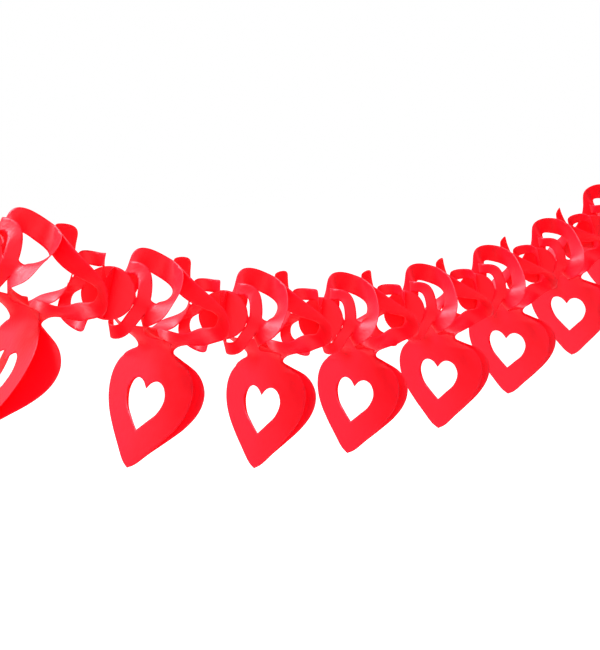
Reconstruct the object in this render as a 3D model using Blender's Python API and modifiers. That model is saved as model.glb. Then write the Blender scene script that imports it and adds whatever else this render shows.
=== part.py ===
"""Hanging paper garland of sixteen cut tissue sheets, pulled open.

Every sheet is cut from one flat pattern: a disc inside two rings, joined only
at the sides, with a pierced heart below. Two sheets make a pair, glued at
the top of the outer ring and down the middle of their hearts. Neighbouring
pairs are glued down the middle of their discs, so a pull along the garland
opens each sheet between its two glue lines.

Metres, +X along the garland, +Z up. The origin is the glue line at the near
end, halfway up the first disc.
"""
import bisect
from math import atan2, cos, hypot, radians, sin, tau

import bmesh
import bpy
from mathutils import Vector

# Garland
PITCH = 0.096          # one pair of sheets, pulled open
PAIRS = 8
SHEET = 0.0004         # thickness that the tissue is drawn with
SEAT = 0.0003          # gap between two glued sheets
HANG_RADIUS = 0.88     # the sag is an arc of this radius
LOW_PAIR = 3.58        # the lowest point, in pairs from the middle of the first
COLOUR = (0.80, 0.006, 0.022, 1.0)

# Cut pattern: radii about the middle of the disc
DISC = 0.0178
INNER_RING = (0.0190, 0.0283)
OUTER_RING = (0.0295, 0.0448)
COLUMNS = 24           # steps round the rings
BRIDGE = 1             # steps each side of a bridge's middle
NECK = 2               # steps each side of the neck's middle
HALF_DISC_RING = 0.6   # share of the disc's radius where its mesh is divided

# Opened sheet, in pitches: along the garland from the pair's middle, to the
# near side, and up. The first number of each row is the place on the ring in
# degrees from the near side over the top, and the last three are the way its
# outer edge points from its centre line.
OUTER_PLACES = (
    (0, -0.27, 0.245, -0.19, 0.5, 0.8, -0.3),        # near bridge
    (30, -0.165, 0.21, -0.05, 0.35, 0.9, 0.2),
    (60, -0.05, 0.12, 0.06, 0.15, 0.8, 0.6),         # the ring curls round
    (90, 0.0, 0.0, 0.125, 0.0, 0.3, 0.95),           # glue spot at the top
    (120, -0.14, -0.085, 0.165, -0.12, 0.0, 1.0),
    (150, -0.245, -0.165, 0.135, -0.25, -0.25, 0.93),  # far shoulder
    (180, -0.25, -0.27, -0.07, 0.3, -0.95, -0.1),    # far bridge
    (210, -0.27, -0.22, -0.22, 0.3, -0.75, -0.6),
    (240, -0.12, -0.15, -0.325, 0.1, -0.35, -0.9),
    (270, 0.0, -0.05, -0.355, 0.0, 0.0, -1.0),       # above the neck
    (300, -0.07, 0.11, -0.325, 0.1, 0.35, -0.9),
    (330, -0.20, 0.20, -0.28, 0.4, 0.55, -0.8),
)
INNER_PLACES = (
    (0, -0.335, 0.14, -0.14, 0.55, 0.8, -0.25),      # near bridge
    (45, -0.33, 0.12, 0.0, 0.5, 0.6, 0.6),
    (90, -0.36, -0.03, 0.085, 0.35, 0.0, 0.93),      # free loop at the top
    (135, -0.33, -0.16, 0.04, 0.4, -0.6, 0.65),
    (180, -0.335, -0.178, -0.10, 0.35, -0.93, 0.05),  # far bridge
    (225, -0.36, -0.13, -0.25, 0.3, -0.5, -0.8),
    (270, -0.39, 0.0, -0.353, 0.1, 0.0, -1.0),       # free loop at the bottom
    (315, -0.36, 0.12, -0.27, 0.3, 0.4, -0.85),
)
DISC_AT = (-0.04, -0.105)      # middle of the disc: to the near side, up
PETAL_SWING = (45, 60)         # degrees that its near and far halves are opened

# Hearts, in pitches
HEART_TOP = -0.43
HEART_SIDE = -0.055            # the hearts hang to the far side of the rings
HEART_OPEN = 0.05              # a heart's edges stand off its partner's
HEART_CURL = 0.075             # both sheets' edges curl towards the far end
HEART_EASE = 0.1               # share of their height over which the curl sets in
HEART_LEAN = 0.06              # and their tips hang towards the near end
HALF_HEART = 0.48
HEART = (                      # right half of the outline: across and up
    (0.207, -0.42), (0.27, -0.455), (0.36, -0.50), (0.435, -0.565), (0.476, -0.65),
    (HALF_HEART, -0.74), (0.455, -0.83), (0.395, -0.93), (0.30, -1.035), (0.19, -1.14),
    (0.07, -1.25),
)
HEART_TIP = (0.0, -1.28)
HOLE_NOTCH = (0.0, -0.705)
HOLE = (
    (0.05, -0.662), (0.115, -0.645), (0.185, -0.675), (0.22, -0.755),
    (0.18, -0.855), (0.09, -0.935),
)
HOLE_TIP = (0.0, -1.005)

STAND_OFF = (SHEET + SEAT) / 2
FOLD_OFF = (SHEET / cos(radians(max(PETAL_SWING))) + SEAT) / 2


def clear_scene():
    for thing in list(bpy.data.objects):
        bpy.data.objects.remove(thing, do_unlink=True)


def closed_spline(rows, turn):
    """Smooth closed curve through the rows; turn is in degrees."""
    starts = [row[0] for row in rows]
    count = len(rows)
    near = bisect.bisect_right(starts, turn) - 1
    step = 360 / count
    part = (turn - starts[near]) / step
    before, here, there, after = (
        Vector(rows[(near + shift) % count][1:]) for shift in (-1, 0, 1, 2)
    )
    leave = (there - before) / 2
    arrive = (after - here) / 2
    square, cube = part * part, part ** 3
    return (
        (2 * cube - 3 * square + 1) * here
        + (cube - 2 * square + part) * leave
        + (3 * square - 2 * cube) * there
        + (cube - square) * arrive
    )


def on_ring(rows, ring, radius, turn):
    place = closed_spline(rows, turn)
    middle = Vector(place[:3]) * PITCH
    outward = Vector(place[3:]).normalized()
    return middle + outward * (radius - sum(ring) / 2)


def on_disc(radius, turn):
    """The disc is folded down its middle, and its halves stand open."""
    side = radius * cos(turn)
    swing = radians(PETAL_SWING[0] if side > 0 else PETAL_SWING[1])
    near, up = DISC_AT
    return Vector((
        -PITCH / 2 + FOLD_OFF + abs(side) * sin(swing),
        near * PITCH + side * cos(swing),
        up * PITCH + radius * sin(turn),
    ))


def on_heart(across, up):
    spread = across / (HALF_HEART * PITCH)
    return Vector((-HEART_OPEN * PITCH * spread * spread, across + HEART_SIDE * PITCH, up))


def drift(place):
    """How far both hearts of a pair are carried along the garland."""
    spread = (place.y / PITCH - HEART_SIDE) / HALF_HEART
    drop = (HEART_TOP - place.z / PITCH) / (HEART_TOP - HEART_TIP[1])
    curl = HEART_CURL * spread * spread * min(1, drop / HEART_EASE)
    return PITCH * (curl - HEART_LEAN * drop)


def opened(flat):
    """Where a point of the flat pattern is on the opened sheet of a pair."""
    radius = hypot(flat.x, flat.y)
    angle = atan2(flat.y, flat.x)
    turn = (angle * 360 / tau + 360) % 360
    if radius < (DISC + INNER_RING[0]) / 2:
        place = on_disc(radius, angle)
    elif radius < (INNER_RING[1] + OUTER_RING[0]) / 2:
        place = on_ring(INNER_PLACES, INNER_RING, radius, turn)
    elif radius < OUTER_RING[1] + SHEET / 2:
        place = on_ring(OUTER_PLACES, OUTER_RING, radius, turn)
    else:
        place = on_heart(flat.x, flat.y + OUTER_RING[1] + HEART_TOP * PITCH)
    place.x = min(max(place.x, -PITCH / 2 + STAND_OFF), -STAND_OFF)
    return place


def hung(place, pair):
    """Bends the straight garland into its sag."""
    turn = ((pair - LOW_PAIR) * PITCH + place.x) / HANG_RADIUS
    reach = HANG_RADIUS - place.z
    return Vector((reach * sin(turn), -place.y, HANG_RADIUS - reach * cos(turn)))


def beside(column, middle, steps):
    away = abs(column + 0.5 - middle)
    return min(away, COLUMNS - away) < steps


def flat_pattern():
    """Rings and disc as one spun row of points, with the slots left out."""
    bm = bmesh.new()
    radii = (0, DISC * HALF_DISC_RING, DISC, *INNER_RING, *OUTER_RING)
    row = [bm.verts.new((radius, 0, 0)) for radius in radii]
    edges = [bm.edges.new(pair) for pair in zip(row, row[1:])]
    bmesh.ops.spin(
        bm, geom=row + edges, cent=(0, 0, 0), axis=(0, 0, 1), angle=tau, steps=COLUMNS, use_merge=True
    )
    bmesh.ops.remove_doubles(bm, verts=bm.verts, dist=SHEET / 10)
    slots = ((DISC, INNER_RING[0]), (INNER_RING[1], OUTER_RING[0]))
    cut = []
    for face in bm.faces:
        middle = face.calc_center_median()
        radius = middle.length
        column = int((atan2(middle.y, middle.x) / tau % 1) * COLUMNS)
        bridge = beside(column, 0, BRIDGE) or beside(column, COLUMNS / 2, BRIDGE)
        if not bridge and any(inside < radius < outside for inside, outside in slots):
            cut.append(face)
    bmesh.ops.delete(bm, geom=cut, context="FACES")
    add_heart(bm)
    bmesh.ops.recalc_face_normals(bm, faces=bm.faces)
    return bm


def outline(bm, points):
    """Points of the heart on the flat pattern, where it hangs from the ring."""
    up = OUTER_RING[1] + HEART_TOP * PITCH
    return [bm.verts.new((x * PITCH, y * PITCH - up, 0)) for x, y in points]


def mirrored(half):
    return [(-x, y) for x, y in reversed(half)]


def add_heart(bm):
    """The heart fills the space between its outline, its hole and the neck."""
    rim = [v for v in bm.verts if abs(v.co.length - OUTER_RING[1]) < SHEET / 10]
    reach = (NECK + 0.5) * tau / COLUMNS
    neck = sorted((v for v in rim if abs(atan2(v.co.x, -v.co.y)) < reach), key=lambda v: v.co.x)
    sides = outline(bm, [*HEART, HEART_TIP, *mirrored(HEART)])
    hole = outline(bm, [HOLE_NOTCH, *HOLE, HOLE_TIP, *mirrored(HOLE)])
    edges = []
    for loop in (neck + sides, hole):
        for a, b in zip(loop, loop[1:] + loop[:1]):
            edges.append(bm.edges.get((a, b)) or bm.edges.new((a, b)))
    bmesh.ops.triangle_fill(bm, edges=edges, use_beauty=True, normal=(0, 0, 1))


def tissue():
    material = bpy.data.materials.new("red_tissue")
    material.use_nodes = True
    shader = material.node_tree.nodes["Principled BSDF"]
    shader.inputs["Base Color"].default_value = COLOUR
    shader.inputs["Roughness"].default_value = 0.85
    shader.inputs["Metallic"].default_value = 0.0
    return material


def sheet(name, pattern, pair, side, origin, collection):
    """side is -1 for a pair's near sheet and 1 for the one behind it."""
    mesh = bpy.data.meshes.new(name)
    bm = pattern.copy()
    for vert in bm.verts:
        place = opened(vert.co)
        place.x *= -side
        if place.z < HEART_TOP * PITCH:
            place.x += drift(place)
        vert.co = hung(place, pair) - origin
    bm.to_mesh(mesh)
    bm.free()
    mesh.materials.append(tissue())
    mesh.shade_smooth()
    body = bpy.data.objects.new(name, mesh)
    collection.objects.link(body)
    thicken = body.modifiers.new("thickness", "SOLIDIFY")
    thicken.thickness = SHEET
    thicken.offset = 0.0
    thicken.use_even_offset = True


def main():
    clear_scene()
    garland = bpy.data.collections.new("heart_garland")
    bpy.context.scene.collection.children.link(garland)
    end = Vector((-PITCH / 2, DISC_AT[0] * PITCH, DISC_AT[1] * PITCH))
    origin = hung(end, 0)
    pattern = flat_pattern()
    for index in range(2 * PAIRS):
        side = -1 if index % 2 == 0 else 1
        sheet(f"sheet_{index + 1:02d}", pattern, index // 2, side, origin, garland)
    pattern.free()


main()
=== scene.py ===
# %% [markdown]
# A paper heart garland
#
# The real garland is a stack of cut tissue sheets. All of them are cut by one
# die: a disc inside two rings, joined only by small bridges at the sides, and
# a heart with a heart-shaped window below. Spots of glue join the sheets in
# turn, and a pull on the stack opens it into this row of loops.
# This script draws one sheet flat, opens it, and hangs sixteen of them, one for
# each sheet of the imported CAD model. First the frame is loaded, and its box is
# kept, because the dressed garland has to stay inside it.

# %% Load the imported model
from math import cos, radians, sin

import bpy
import numpy as np
from mathutils import Matrix, Vector
from mathutils.geometry import delaunay_2d_cdt


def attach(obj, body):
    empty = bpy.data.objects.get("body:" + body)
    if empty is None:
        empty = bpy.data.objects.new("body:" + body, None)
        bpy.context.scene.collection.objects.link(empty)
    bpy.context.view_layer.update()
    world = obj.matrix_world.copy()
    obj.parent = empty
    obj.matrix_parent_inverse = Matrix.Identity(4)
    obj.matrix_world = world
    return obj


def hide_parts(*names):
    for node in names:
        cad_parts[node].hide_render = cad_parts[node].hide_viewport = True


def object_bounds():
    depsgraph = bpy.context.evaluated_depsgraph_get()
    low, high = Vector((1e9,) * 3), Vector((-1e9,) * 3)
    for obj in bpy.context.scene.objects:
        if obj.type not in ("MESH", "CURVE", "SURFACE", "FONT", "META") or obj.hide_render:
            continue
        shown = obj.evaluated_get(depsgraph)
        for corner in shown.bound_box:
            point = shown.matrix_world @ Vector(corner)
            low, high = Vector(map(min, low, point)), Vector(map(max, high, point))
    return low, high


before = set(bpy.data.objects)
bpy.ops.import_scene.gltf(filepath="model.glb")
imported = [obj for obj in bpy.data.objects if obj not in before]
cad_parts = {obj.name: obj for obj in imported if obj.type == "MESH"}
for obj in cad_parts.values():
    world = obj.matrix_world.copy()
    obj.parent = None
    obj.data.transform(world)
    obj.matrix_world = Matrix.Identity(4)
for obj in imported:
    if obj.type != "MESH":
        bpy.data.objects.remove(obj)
cad_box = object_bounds()
scene = bpy.context.scene
print("CAD nodes:", len(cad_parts), "in a box", cad_box)

# %% [markdown]
# Measures of the garland
#
# A pitch is one pair of sheets, pulled open. Lengths along the opened sheet
# are written in pitches, and radii on the flat sheet in metres. Pitches could
# all be metres too, but then a garland of another size would need every number
# again. The row, the hearts and the sag are those of the CAD source. The disc
# and the bands were measured once more, and differ from it a little.

# %% Measures
PITCH = 0.096
PAIRS = 8
HANG_RADIUS = 0.88          # the sag is an arc of this radius
LOW_PAIR = 3.58             # its lowest point, in pairs from the first
PAPER = 0.00014             # thickness that the tissue is drawn with
GLUE_GAP = 0.00006          # what is left between two glued sheets
DISC = 0.0178
INNER_RING = (0.0190, 0.0283)
OUTER_RING = (0.0295, 0.0448)
HEART_TOP = -0.43
DISC_AT = (0.006, -0.107)   # the disc's middle: towards the near side, and up
print(f"{2 * PAIRS} sheets, {PITCH * PAIRS:.3f} m pulled open")

# %% [markdown]
# The die
#
# A sheet is easiest to get right while it is flat, so the cut lines come
# first, as closed loops of points in the plane. The heart is one half outline
# that is mirrored, like the folded paper it is cut from. A spline through the
# few points that were measured gives the smooth edge that a die leaves, and
# even steps along it give triangles of one size later.

# %% Cut lines
STEP = 0.00135                  # distance between points on the cut lines
ARC_POINTS = 240
SLOT_END_POINTS = 5             # round ends of the narrow cuts
BRIDGES = (0.0032, 0.0068)      # half widths: disc to ring, ring to ring
OPEN_RIM = (-60, 240)           # degrees; the neck takes up the rest
HEART = np.array((
    (0.233, -0.367), (0.207, -0.40), (0.207, -0.425), (0.27, -0.455), (0.36, -0.50),
    (0.435, -0.565), (0.476, -0.65), (0.48, -0.74), (0.455, -0.83), (0.395, -0.93),
    (0.30, -1.035), (0.19, -1.14), (0.07, -1.25), (0.0, -1.285),
))
HOLE = np.array((
    (0.0, -0.71), (0.05, -0.662), (0.115, -0.645), (0.185, -0.675), (0.22, -0.755),
    (0.18, -0.855), (0.09, -0.935), (0.0, -1.01),
))


def spaced(points, step=STEP):
    """The same line in even steps, with both its ends kept."""
    along = np.append(0, np.cumsum(np.linalg.norm(np.diff(points, axis=0), axis=1)))
    stops = np.linspace(0, along[-1], max(2, round(along[-1] / step) + 1))
    return np.stack([np.interp(stops, along, values) for values in points.T], 1)


def ease(start, leave, end, arrive, t):
    """A cubic from start to end with these slopes."""
    return (
        (2 * t ** 3 - 3 * t ** 2 + 1) * start + (t ** 3 - 2 * t ** 2 + t) * leave
        + (3 * t ** 2 - 2 * t ** 3) * end + (t ** 3 - t ** 2) * arrive
    )


def curve_through(points, detail=24):
    """A smooth open line through the points, which may be uneven."""
    ends = np.vstack([2 * points[0] - points[1], points, 2 * points[-1] - points[-2]])
    line = []
    for before, here, there, after in zip(ends, ends[1:], ends[2:], ends[3:]):
        pairs = (before, here), (here, there), (there, after)
        back, span, on = [np.linalg.norm(b - a) ** 0.5 for a, b in pairs]
        leave = (here - before) / back - (there - before) / (back + span) + (there - here) / span
        arrive = (there - here) / span - (after - here) / (span + on) + (after - there) / on
        line += [
            ease(here, leave * span, there, arrive * span, t) for t in np.arange(detail) / detail
        ]
    return np.array([*line, points[-1]])


def arc(radius, start, end):
    turn = np.radians(np.linspace(start, end, ARC_POINTS))
    return radius * np.stack([np.cos(turn), np.sin(turn)], 1)


def on_sheet(points):
    """From pitches, as the heart was measured, to the flat sheet in metres."""
    return points * PITCH - (0, OUTER_RING[1] + HEART_TOP * PITCH)


def closed_loop(half):
    """A half outline from top to tip, and its mirror image back up."""
    half = spaced(curve_through(half))
    return np.vstack([half, (half * (-1, 1))[-2::-1]])


def slot(inside, outside, bridge):
    """The narrow cut between two rings: its upper half, with round ends."""
    start = np.degrees(bridge / inside)
    middle, half = (inside + outside) / 2, (outside - inside) / 2
    way = cos(radians(start)), sin(radians(start))
    across = way[1], -way[0]
    right = np.array([
        [(middle + half * cos(a)) * w + half * sin(a) * c for w, c in zip(way, across)]
        for a in np.linspace(np.pi, 0, SLOT_END_POINTS)[1:-1]
    ])
    left = (right * (-1, 1))[::-1]
    inner = spaced(arc(inside, 180 - start, start))
    outer = spaced(arc(outside, start, 180 - start))
    return np.vstack([inner, right, outer, left])


heart = closed_loop(on_sheet(HEART))
rim = spaced(arc(OUTER_RING[1], *OPEN_RIM))
outline = np.vstack([rim[1:-1], heart[::-1]])
window = closed_loop(on_sheet(HOLE))[:-1]
upper_slots = [
    slot(DISC, INNER_RING[0], BRIDGES[0]),
    slot(INNER_RING[1], OUTER_RING[0], BRIDGES[1]),
]
cut_outs = [window] + [half * (1, side) for half in upper_slots for side in (1, -1)]
wide = np.ptp(outline[:, 0])

# %% [markdown]
# From cut lines to a fine net of triangles
#
# Paper bends smoothly, so its mesh needs small triangles of about one size
# everywhere, and edges that follow every cut. A square grid with its edges
# trimmed would leave steps along the cuts. Here a grid of points fills the
# outline, and a constrained Delaunay triangulation joins them without crossing
# a cut line. The line down the disc is a crease, so points lie on it too.

# %% Triangles of the flat sheet
CLEAR_OF_CUTS = 0.62        # grid points keep this share of a step from a cut
BLOCKS = 20                 # distances are worked out in this many parts
SNAP = 1e-7                 # points closer than this are one
ALL_TRIANGLES = 0           # those in the cut-outs are taken away afterwards


def inside(points, loop):
    """True where a point is inside the closed loop, by counting crossings."""
    x, y = points[:, :1], points[:, 1:]
    a, b = loop, np.roll(loop, -1, 0)
    spans = (a[:, 1] > y) != (b[:, 1] > y)
    rise = np.where(b[:, 1] == a[:, 1], 1, b[:, 1] - a[:, 1])
    return (spans & (x < (b[:, 0] - a[:, 0]) * (y - a[:, 1]) / rise + a[:, 0])).sum(1) % 2 == 1


def nearest(points, others):
    """Distance from each point to the nearest of the others."""
    return np.concatenate([
        np.sqrt(((block[:, None] - others) ** 2).sum(2).min(1))
        for block in np.array_split(points, BLOCKS)
    ])


crease = spaced(np.array([(0, -DISC), (0, DISC)]))[1:-1]
lines = [(outline, True), *((loop, True) for loop in cut_outs), (crease, False)]
cut_points = np.vstack([line for line, _ in lines])
edges, first = [], 0
for line, closed in lines:
    count = len(line)
    edges += [(first + i, first + (i + 1) % count) for i in range(count if closed else count - 1)]
    first += count
columns = np.arange(-wide / 2, wide / 2, STEP)
rows = np.arange(outline[:, 1].min(), outline[:, 1].max(), STEP * 3 ** 0.5 / 2)
grid = np.array([(x + STEP / 2 * (j % 2), y) for j, y in enumerate(rows) for x in columns])
grid = grid[nearest(grid, cut_points) > CLEAR_OF_CUTS * STEP]
grid = grid[inside(grid, outline)]
flat_points, _, flat_faces, *_ = delaunay_2d_cdt(
    [Vector(p) for p in np.vstack([cut_points, grid])], edges, [], ALL_TRIANGLES, SNAP, True
)
flat_points = np.array(flat_points)
flat_faces = np.array(flat_faces)
middles = flat_points[flat_faces].mean(1)
in_a_cut = np.any([inside(middles, loop) for loop in cut_outs], axis=0)
flat_faces = flat_faces[inside(middles, outline) & ~in_a_cut]
used, flat_faces = np.unique(flat_faces, return_inverse=True)
flat_points, flat_faces = flat_points[used], flat_faces.reshape(-1, 3)
corners = flat_points[flat_faces]
side_a, side_b = corners[:, 1] - corners[:, 0], corners[:, 2] - corners[:, 0]
turned = side_a[:, 0] * side_b[:, 1] - side_a[:, 1] * side_b[:, 0]
flat_faces[turned < 0] = flat_faces[turned < 0][:, ::-1]

# %% [markdown]
# How a ring opens
#
# Pulled open, each ring is a band of even width that twists as it goes round.
# It is described as a closed line through places at even angles of the flat
# ring, from its near side and up over its top. The first three numbers of a
# place say where the middle of the band is: along the garland, to the near
# side, and up. The last three say which way its outer edge points. Simulated
# cloth would find such a shape too, but not this very one.
# The spline through the places is smooth in slope and in bend, because a
# sudden change of bend would show as a line in the light on the paper.

# %% The rings as twisting bands
OUTER_PLACES = np.array((
    (-0.29, 0.296, -0.19, 0.038, 0.964, -0.283),
    (-0.246, 0.308, -0.109, 0.074, 1.005, -0.02),
    (-0.177, 0.269, -0.056, 0.046, 0.953, 0.356),
    (-0.111, 0.208, -0.014, 0.049, 0.793, 0.609),
    (-0.052, 0.144, 0.034, 0.027, 0.631, 0.8),
    (-0.01, 0.072, 0.088, 0.052, 0.455, 0.921),
    (-0.008, -0.015, 0.134, 0.176, 0.25, 0.933),
    (-0.062, -0.086, 0.17, 0.136, 0.118, 0.992),
    (-0.157, -0.118, 0.194, -0.149, 0.033, 1.004),
    (-0.235, -0.125, 0.168, -0.295, -0.396, 0.836),
    (-0.253, -0.118, 0.076, -0.304, -0.792, 0.592),
    (-0.274, -0.132, -0.022, -0.484, -0.825, 0.343),
    (-0.299, -0.181, -0.104, -0.538, -0.842, 0.116),
    (-0.289, -0.25, -0.168, -0.197, -0.981, 0.046),
    (-0.237, -0.295, -0.231, 0.288, -0.96, 0.093),
    (-0.163, -0.298, -0.299, 0.406, -0.857, -0.248),
    (-0.093, -0.253, -0.341, 0.329, -0.612, -0.716),
    (-0.042, -0.17, -0.352, 0.252, -0.255, -0.936),
    (-0.018, -0.07, -0.349, 0.26, 0.041, -0.966),
    (-0.034, 0.026, -0.349, 0.327, 0.295, -0.891),
    (-0.102, 0.089, -0.345, 0.274, 0.571, -0.788),
    (-0.194, 0.104, -0.315, 0.06, 0.726, -0.693),
    (-0.273, 0.138, -0.271, -0.176, 0.76, -0.595),
    (-0.307, 0.221, -0.241, -0.191, 0.876, -0.43),
))
INNER_PLACES = np.array((
    (-0.334, 0.172, -0.145, 0.717, 0.629, -0.277),
    (-0.331, 0.17, -0.019, 0.788, 0.554, 0.259),
    (-0.349, 0.111, 0.087, 0.41, 0.504, 0.776),
    (-0.384, -0.006, 0.097, 0.067, 0.12, 0.992),
    (-0.294, -0.079, 0.082, 0.307, -0.297, 0.905),
    (-0.281, -0.037, -0.013, 0.805, -0.291, 0.497),
    (-0.305, -0.081, -0.108, 0.919, -0.444, -0.018),
    (-0.311, -0.184, -0.177, 0.49, -0.804, -0.311),
    (-0.317, -0.169, -0.29, 0.648, -0.239, -0.747),
    (-0.376, -0.079, -0.351, 0.333, 0.042, -0.939),
    (-0.367, 0.04, -0.34, 0.291, 0.375, -0.862),
    (-0.344, 0.106, -0.25, 0.798, 0.329, -0.545),
))


def along_loop(places, turn):
    """Places at these angles, in degrees, on a closed spline."""
    count = len(places)
    ahead, behind = np.roll(places, -1, 0), np.roll(places, 1, 0)
    shift = np.roll(np.eye(count), 1, 0)
    slope = np.linalg.solve(4 * np.eye(count) + shift + shift.T, 3 * (ahead - behind))
    spot = turn % 360 / 360 * count
    here = spot.astype(int) % count
    there = (here + 1) % count
    return ease(places[here], slope[here], places[there], slope[there], (spot - here)[:, None])


def on_band(places, ring, radius, turn):
    """Where the points of a ring are on the opened sheet, in pitches."""
    place = along_loop(places, turn)
    outward = place[:, 3:] / np.linalg.norm(place[:, 3:], axis=1)[:, None]
    return place[:, :3] + outward * ((radius - sum(ring) / 2) / PITCH)[:, None]


print("bands:", len(OUTER_PLACES), "and", len(INNER_PLACES), "places")

# %% [markdown]
# The disc and the heart
#
# The disc is glued to its neighbour down its middle, and the pull opens its
# halves like petals: flat against the glue at first, and then swinging out.
# The heart stays almost flat. It is glued to its partner down the middle, its
# edges stand off a little, and both curl gently the same way. Both are short
# formulas, so the paper keeps its length without a table of places.

# %% Petals and hearts
PETAL_SWING = (47, 59)      # degrees at which the near and far halves stand
PETAL_EASE = 0.0035         # the swing comes on over this far from the crease
PETAL_START = 0.35          # share of the swing right at the crease
PETAL_GAIN = 0.8            # and how much more of it comes further out
PETAL_STEPS = 200
HEART_SIDE = -0.055
HEART_OPEN = 0.05
HEART_CURL = 0.075
HEART_EASE = 0.1
HEART_LEAN = 0.06
HEART_LONG = 0.85
HALF_HEART = 0.48


def on_petal(flat):
    """The disc's points, in pitches."""
    across = np.abs(flat[:, 0])
    place = np.zeros((len(flat), 3))
    ruler = np.linspace(0, DISC, PETAL_STEPS)
    for side, swing in zip((1, -1), PETAL_SWING):
        opening = PETAL_START + PETAL_GAIN * (1 - np.exp(-ruler / PETAL_EASE))
        angle = np.radians(swing) * opening
        out = np.cumsum(np.sin(angle)) * ruler[1]
        over = np.cumsum(np.cos(angle)) * ruler[1]
        half = (flat[:, 0] > 0) == (side > 0)
        place[half, 0] = np.interp(across[half], ruler, out - out[0])
        place[half, 1] = side * np.interp(across[half], ruler, over - over[0])
    near, up = DISC_AT
    return np.stack([
        place[:, 0] / PITCH - 0.5, near + place[:, 1] / PITCH, up + flat[:, 1] / PITCH
    ], 1)


def on_heart(flat):
    """The heart's points, in pitches, before it leans and curls."""
    across = flat[:, 0] / PITCH
    spread = across / HALF_HEART
    up = (flat[:, 1] + OUTER_RING[1]) / PITCH + HEART_TOP
    return np.stack([-HEART_OPEN * spread ** 2, across + HEART_SIDE, up], 1)


def drift(place):
    """How far both hearts of a pair are carried along the garland."""
    spread = (place[:, 1] - HEART_SIDE) / HALF_HEART
    drop = np.clip((HEART_TOP - place[:, 2]) / HEART_LONG, 0, None)
    return HEART_CURL * spread ** 2 * np.minimum(1, drop / HEART_EASE) - HEART_LEAN * drop


print(f"petals stand at {PETAL_SWING[0]} and {PETAL_SWING[1]} degrees")

# %% [markdown]
# One sheet, opened
#
# The bands, the disc and the heart meet at narrow places: two bridges on each
# side and the neck. There the sheet has to pass from one description to the
# next without a step, so each place is a mix of the two, by how far across the
# joint the point lies.

# %% Open the flat sheet
NECK_RADII = (0.034, 0.050)     # the ring passes into the heart between these
NECK_ANGLES = (30, 55)          # and so far to either side of straight down


def mixed(a, b, share):
    return a + (b - a) * share[:, None]


def smooth(value, start, end):
    """0 before start, 1 after end, and an even slope between them."""
    t = np.clip((value - start) / (end - start), 0, 1)
    return t * t * (3 - 2 * t)


def opened(flat):
    """The near sheet of a pair, in pitches about the pair's middle."""
    radius = np.hypot(*flat.T)
    turn = np.degrees(np.arctan2(flat[:, 1], flat[:, 0]))
    ways = np.stack([np.cos(np.radians(turn)), np.sin(np.radians(turn))], 1)
    petal = on_petal(ways * np.minimum(radius, DISC)[:, None])
    inner = on_band(INNER_PLACES, INNER_RING, np.clip(radius, *INNER_RING), turn)
    outer = on_band(OUTER_PLACES, OUTER_RING, np.maximum(radius, OUTER_RING[0]), turn)
    first_cut = INNER_RING[0] - DISC
    second_cut = OUTER_RING[0] - INNER_RING[1]
    place = mixed(petal, inner, np.clip((radius - DISC) / first_cut, 0, 1))
    place = mixed(place, outer, np.clip((radius - INNER_RING[1]) / second_cut, 0, 1))
    off_neck = np.abs((turn + 90 + 180) % 360 - 180)
    beside_neck = np.where(radius < OUTER_RING[1], 1 - smooth(off_neck, *NECK_ANGLES), 1)
    return mixed(place, on_heart(flat), smooth(radius, *NECK_RADII) * beside_neck)


near_sheet = opened(flat_points)
print("opened sheet, in pitches:", near_sheet.min(0).round(3), near_sheet.max(0).round(3))

# %% [markdown]
# Shader maths
#
# Finishes are made of nodes, and sums of nodes are hard to read. A small class
# wraps a socket and takes the usual operators, so that a sum in a finish looks
# like a sum. All other nodes come from one method, which is told their kind,
# settings and sockets.

# %% A class for shader maths
WHITE = (1, 1, 1, 1)


class Amount:
    """A number at a socket. Arithmetic on it adds Math nodes."""

    def __init__(self, finish, socket):
        self.finish = finish
        self.socket = socket

    def maths(self, operation, first, second):
        settings = {"operation": operation}
        return self.finish.node("ShaderNodeMath", settings, {0: first, 1: second})[0]

    def __add__(self, other):
        return self.maths("ADD", self, other)

    def __mul__(self, other):
        return self.maths("MULTIPLY", self, other)

    __radd__ = __add__
    __rmul__ = __mul__


class Finish:
    """The nodes of one material, or of the world."""

    def __init__(self, owner):
        owner.use_nodes = True
        self.tree = owner.node_tree
        self.tree.nodes.clear()

    def node(self, kind, settings, sockets):
        """Adds a node and gives its outputs, wrapped for more maths."""
        made = self.tree.nodes.new(kind)
        for name, value in settings.items():
            setattr(made, name, value)
        for key, value in sockets.items():
            if isinstance(value, Amount):
                self.tree.links.new(value.socket, made.inputs[key])
            else:
                made.inputs[key].default_value = value
        return [Amount(self, socket) for socket in made.outputs]


print("shader maths ready")

# %% [markdown]
# The finish: red tissue paper
#
# Tissue has a faint sheen, and is so thin that light comes through it. One
# glossy shader would look like plastic, and one diffuse shader like card. So a
# Principled shader makes the light that it throws back, and a Translucent one
# the light that passes. Clouds of noise on the flat pattern give the fibres
# and the uneven dye. Within a few millimetres of a cut the colour is painted
# paler, as a painted sheen along the edges.

# %% Red tissue
DEEP_RED = (0.96, 0.001, 0.010, 1)
PALE_RED = (0.97, 0.005, 0.034, 1)
RED_LIGHT = (1.0, 0.0, 0.006, 1)        # what comes through the paper
SHEEN_TINT = (1.0, 0.65, 0.8, 1)
# Within this far of a cut the colour is painted paler, as a painted sheen.
SHEEN_RIM = 0.35                              # width of the paler rim, in centimetres
MOTTLE, CRINKLE, FIBRE = 60, 260, 1400  # how fine each cloud is
THROUGH = 0.5                           # share of the light that passes


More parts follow.
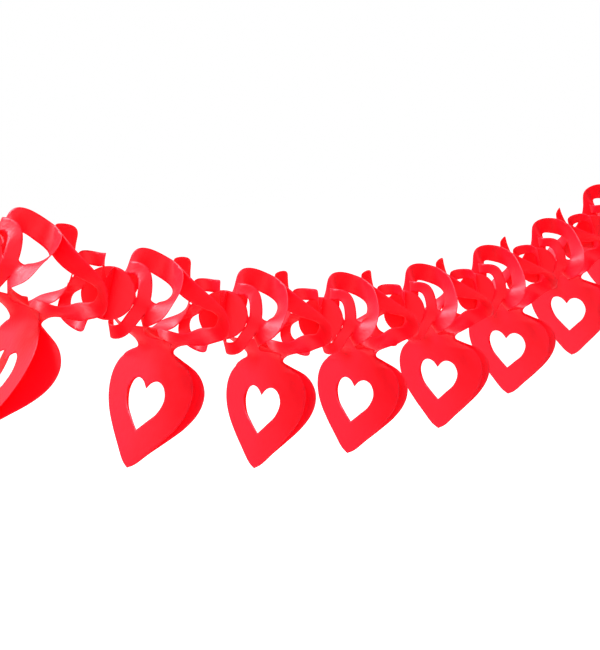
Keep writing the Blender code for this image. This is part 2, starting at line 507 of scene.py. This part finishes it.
def red_tissue():
    material = bpy.data.materials.new("red_tissue")
    finish = Finish(material)
    pattern = finish.node("ShaderNodeUVMap", {"uv_map": "pattern"}, {})[0]
    marks = finish.node("ShaderNodeUVMap", {"uv_map": "marks"}, {})[0]
    from_edge, seed, _ = finish.node("ShaderNodeSeparateXYZ", {}, {0: marks})

    def cloud(scale):
        sockets = {"Vector": pattern, "W": seed, "Scale": scale, "Detail": 3}
        return finish.node("ShaderNodeTexNoise", {"noise_dimensions": "4D"}, sockets)[0]

    fibre = cloud(FIBRE)
    # Painted sheen: the colour turns paler towards every cut edge, by distance from the cut.
    levels = {"Value": from_edge, "From Min": 0, "From Max": SHEEN_RIM, "To Min": 1, "To Max": 0}
    painted_sheen_rim = finish.node("ShaderNodeMapRange", {}, levels)[0]
    # The noises stay near a half, so these shares give a middle tone.
    tone = cloud(MOTTLE) * 0.5 + fibre * 0.35 + painted_sheen_rim * 0.25
    colour = finish.node(
        "ShaderNodeMix", {"data_type": "RGBA"}, {0: tone, 6: DEEP_RED, 7: PALE_RED}
    )[2]
    height = cloud(CRINKLE) + fibre * 0.12
    bump = finish.node(
        "ShaderNodeBump", {}, {"Strength": 0.6, "Distance": 0.0005, "Height": height}
    )[0]
    paper = finish.node(
        "ShaderNodeBsdfPrincipled", {},
        {"Base Color": colour, "Roughness": 0.5, "Specular IOR Level": 0.6,
         "Specular Tint": SHEEN_TINT, "Normal": bump},
    )[0]
    through = finish.node("ShaderNodeBsdfTranslucent", {}, {"Color": RED_LIGHT})[0]
    both = finish.node("ShaderNodeMixShader", {}, {0: THROUGH, 1: paper, 2: through})[0]
    finish.node("ShaderNodeOutputMaterial", {}, {"Surface": both})
    return material


tissue = red_tissue()
print("tissue:", len(tissue.node_tree.nodes), "nodes")

# %% [markdown]
# Hanging the sheets
#
# Every second sheet is the mirror image of the one before, since the same pull
# opens both from the same glue. The straight row is then bent into the sag of
# the whole garland, so one sheet is drawn and sixteen are hung. Each pair of
# hearts swings a little its own way, as paper does. Solidify gives a sheet its
# thickness, so that it is a closed body and not a bare surface.

# %% Hang sixteen sheets
END = (-0.5, *DISC_AT)
# Degrees for each pair: sideways, along the garland, and round.
LEANS = (
    (0, 6.5, 8.5), (-0.5, -0.5, -2.1), (2.9, -1.2, 0.9), (0.3, 2.3, -0.3),
    (2.0, 0.4, -1.8), (-1.0, -0.1, -0.6), (1.0, 1.0, 1.0), (-1.0, 0.5, 0.8),
)
WIDER = (0.04, 0, 0, 0, 0, 0, 0, 0)     # how much more a pair's hearts stand apart
PIVOT = (0, HEART_SIDE, HEART_TOP + 0.03)
LEAN_FROM = HEART_TOP + 0.05            # a heart starts to lean at this height
LEAN_OVER = 0.15
MARK_SCALE = 100                        # edge distances are kept in centimetres
SEED_STEP = 0.7


def hung(place, pair):
    """Bends the straight row into its sag: pitches in, metres out."""
    turn = (pair - LOW_PAIR + place[:, 0]) * PITCH / HANG_RADIUS
    reach = HANG_RADIUS - place[:, 2] * PITCH
    along, up = reach * np.sin(turn), HANG_RADIUS - reach * np.cos(turn)
    return np.stack([along, -place[:, 1] * PITCH, up], 1)


def leaned(place, angles):
    """Swings a heart about the middle of its neck."""
    share = smooth(LEAN_FROM - place[:, 2], 0, LEAN_OVER)
    turns = [Matrix.Rotation(np.radians(angle), 3, axis) for angle, axis in zip(angles, "XYZ")]
    turning = np.array(turns[0] @ turns[1] @ turns[2])
    return mixed(place, (place - PIVOT) @ turning.T + PIVOT, share)


def placed(pair, behind):
    """One sheet's points in metres, before the garland's end is at zero."""
    place = near_sheet.copy()
    clear = (PAPER + GLUE_GAP) / 2 / PITCH
    spread = (place[:, 1] - HEART_SIDE) / HALF_HEART
    below = smooth(HEART_TOP - place[:, 2], 0, HEART_EASE)
    place[:, 0] -= WIDER[pair] * spread ** 2 * below
    place[:, 0] = np.clip(place[:, 0], -0.5 + clear, -clear)
    place[:, 0] *= -1 if behind else 1
    place[:, 0] += np.where(place[:, 2] < HEART_TOP, drift(place), 0)
    return hung(leaned(place, LEANS[pair]), pair)


origin = hung(np.array([END]), 0)[0]
edge_distance = nearest(flat_points, np.vstack([outline, *cut_outs]))
for index in range(2 * PAIRS):
    pair, behind = divmod(index, 2)
    mesh = bpy.data.meshes.new(f"tissue_{index + 1:02d}")
    faces = flat_faces[:, ::-1] if behind else flat_faces
    mesh.from_pydata((placed(pair, behind) - origin).tolist(), [], faces.tolist())
    seed = np.full(len(flat_points), index * SEED_STEP)
    marks = np.stack([edge_distance * MARK_SCALE, seed], 1)
    for name, values in (("pattern", flat_points), ("marks", marks)):
        layer = mesh.uv_layers.new(name=name)
        layer.uv.foreach_set("vector", values[faces.ravel()].astype(np.float32).ravel())
    mesh.shade_smooth()
    mesh.materials.append(tissue)
    sheet = bpy.data.objects.new(f"cut_sheet_{index + 1:02d}", mesh)
    scene.collection.objects.link(sheet)
    body = sheet.modifiers.new("paper", "SOLIDIFY")
    body.thickness = PAPER
    body.offset = 0
    body.use_even_offset = True
    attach(sheet, "root")
    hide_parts(f"sheet_{index + 1:02d}")

# %% [markdown]
# Floor and world
#
# The garland hangs in front of plain white. A painted backdrop would throw its
# light back on the paper. So the floor and the world show white to the camera
# only, while the paper sees a plain floor and a softer world.

# %% Floor and world
DROP = 0.62                 # from the hearts' lowest tip to the floor
FLOOR = 12.0                # half its side
FLOOR_GREY = (0.86, 0.86, 0.86, 1)
FLOOR_LIFT = 0.9            # added for the camera, so that the floor is white
WORLD_LIGHT = 0.25


def pale_floor():
    material = bpy.data.materials.new("pale_floor")
    finish = Finish(material)
    camera = finish.node("ShaderNodeLightPath", {}, {})[0]
    ground = finish.node("ShaderNodeBsdfDiffuse", {}, {"Color": FLOOR_GREY})[0]
    lift = {"Color": WHITE, "Strength": FLOOR_LIFT}
    white = finish.node("ShaderNodeEmission", {}, lift)[0]
    lifted = finish.node("ShaderNodeAddShader", {}, {0: ground, 1: white})[0]
    both = finish.node("ShaderNodeMixShader", {}, {0: camera, 1: ground, 2: lifted})[0]
    finish.node("ShaderNodeOutputMaterial", {}, {"Surface": both})
    return material


def studio():
    world = bpy.data.worlds.new("studio")
    finish = Finish(world)
    camera, _, _, glossy, *_ = finish.node("ShaderNodeLightPath", {}, {})
    shown = finish.node("ShaderNodeMath", {"operation": "MAXIMUM"}, {0: camera, 1: glossy})[0]
    levels = {"Value": shown, "To Min": WORLD_LIGHT, "To Max": 1.0}
    strength = finish.node("ShaderNodeMapRange", {}, levels)[0]
    sky = finish.node("ShaderNodeBackground", {}, {"Color": WHITE, "Strength": strength})[0]
    finish.node("ShaderNodeOutputWorld", {}, {"Surface": sky})
    return world


floor_mesh = bpy.data.meshes.new("floor")
floor_z = cad_box[0][2] - DROP
square = [(x * FLOOR, y * FLOOR, floor_z) for x, y in ((-1, -1), (1, -1), (1, 1), (-1, 1))]
floor_mesh.from_pydata(square, [], [(0, 1, 2, 3)])
floor_mesh.materials.append(pale_floor())
floor = bpy.data.objects.new("floor", floor_mesh)
scene.collection.objects.link(floor)
scene.world = studio()
print(f"floor at {floor_z:.3f} m")

# %% [markdown]
# Lamps
#
# The light comes from high on the left and a little behind, and shows as a
# pink sheen on the bands. A second lamp, near the camera, keeps the shaded
# sides red. Both are large discs, because small lamps would make hard shadows.

# %% Lamps
MIDDLE = Vector((0.36, 0.0, -0.06))     # the lamps look at this spot


def lamp(name, place, size, power):
    light = bpy.data.lights.new(name, "AREA")
    light.shape = "DISK"
    light.size = size
    light.energy = power
    holder = bpy.data.objects.new(name, light)
    holder.location = MIDDLE + Vector(place)
    holder.rotation_euler = (-Vector(place)).to_track_quat("-Z", "Y").to_euler()
    scene.collection.objects.link(holder)


lamp("window_light", (-1.1, 0.8, 1.6), size=0.9, power=130)
lamp("fill_light", (-0.9, -1.6, 0.6), size=1.4, power=17)
print("lamps set")

# %% [markdown]
# Camera
#
# Its place, turn and lens give the photograph's viewing angle, and were fitted
# to the tips of the hearts and the edges of their windows. It is placed from
# the fourth pair, so it keeps that view if the row changes.

# %% Camera
LENS = 56.634
VIEWED_PAIR = 3                                 # counted from zero
CAMERA_AT = (-6.139654, -5.957204, 1.314266)    # in pitches from that pair
RIGHT = (0.7361650, -0.6759811, -0.0333276)
UP = (0.1392988, 0.1031445, 0.9848640)
FORWARD = (0.6623118, 0.7296649, -0.1700947)

view = bpy.data.cameras.new("camera")
view.lens = LENS
camera = bpy.data.objects.new("camera", view)
start = hung(np.zeros((1, 3)), VIEWED_PAIR)[0] - origin
turning = Matrix((RIGHT, UP, [-x for x in FORWARD])).transposed().to_4x4()
camera.matrix_world = Matrix.Translation(Vector(start) + PITCH * Vector(CAMERA_AT)) @ turning
scene.collection.objects.link(camera)
scene.camera = camera
scene.view_settings.view_transform = "Standard"
print("camera at", [round(x, 3) for x in camera.location])
